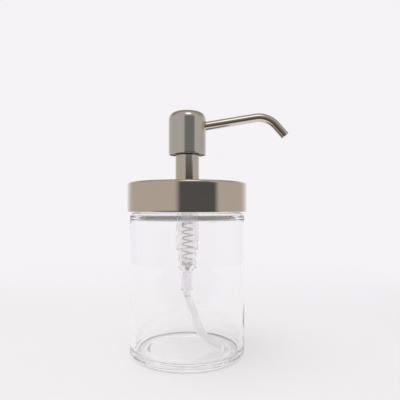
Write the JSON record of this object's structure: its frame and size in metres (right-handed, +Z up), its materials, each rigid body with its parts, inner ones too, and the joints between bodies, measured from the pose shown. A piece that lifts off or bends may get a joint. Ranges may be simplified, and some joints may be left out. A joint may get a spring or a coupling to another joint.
{
  "type": "soap pump dispenser",
  "caption": "Clear glass jar with a polished steel screw lid and a spring-return soap pump: a round press head with a long bent spout, and a dip tube to the jar's floor.",
  "frame": {"origin": "centre of the jar's base, on the surface it stands on", "axes": "+Z up along the jar's and pump's common axis, +X towards the spout's tip at rest"},
  "size_m": [0.1012, 0.0746, 0.1513],
  "materials": {
    "glass": "clear soda-lime glass, fire-polished",
    "polished_steel": "polished stainless steel, warm nickel tone, fine turning lines",
    "clear_plastic": "translucent polypropylene",
    "tube_plastic": "milky polyethylene tube",
    "white_plastic": "natural moulded plastic",
    "dark_plastic": "dark grey moulded plastic",
    "seal_rubber": "soft white elastomer",
    "spring_steel": "drawn stainless spring wire",
    "ball_steel": "ground stainless ball"
  },
  "bodies": {
    "jar": {"jar": "glass"},
    "gasket": {"lid_gasket": "seal_rubber"},
    "lid": {"lid_shell": "polished_steel", "lid_insert": "white_plastic", "neck_sleeve": "polished_steel", "flange_gasket": "seal_rubber", "pump_housing": "clear_plastic", "neck_collar": "white_plastic", "wiper_ring": "seal_rubber", "return_spring": "spring_steel", "ball_cage": "white_plastic", "dip_tube": "tube_plastic"},
    "check_ball": {"check_ball": "ball_steel"},
    "piston": {"piston": "white_plastic"},
    "head": {"stem": "white_plastic", "stem_tip": "white_plastic", "head_shell": "polished_steel", "head_core": "white_plastic", "head_ring": "dark_plastic", "spout": "polished_steel", "spout_liner": "white_plastic", "spout_seal": "seal_rubber"}
  },
  "joints": [
    {"name": "lid_rise", "type": "slide", "parent": "jar", "child": "gasket", "axis": [0, 0, 1], "range_m": [0, 0.0064]},
    {"name": "lid_unscrew", "type": "hinge", "parent": "gasket", "child": "lid", "pos_m": [0, 0, 0.1], "axis": [0, 0, 1], "range_deg": [0, 540]},
    {"name": "pump_press", "type": "slide", "parent": "lid", "child": "piston", "axis": [0, 0, -1], "range_m": [0, 0.012], "stiffness_N_per_m": 500, "springref_m": -0.014, "deforming": ["return_spring"]},
    {"name": "spout_swivel", "type": "hinge", "parent": "piston", "child": "head", "pos_m": [0, 0, 0.125], "axis": [0, 0, 1], "continuous": true},
    {"name": "ball_lift", "type": "slide", "parent": "lid", "child": "check_ball", "axis": [0, 0, 1], "range_m": [0, 0.0015]}
  ],
  "couplings": [
    {"joint": "lid_rise", "follows": "lid_unscrew", "m_per_rad": 0.0006737}
  ]
}
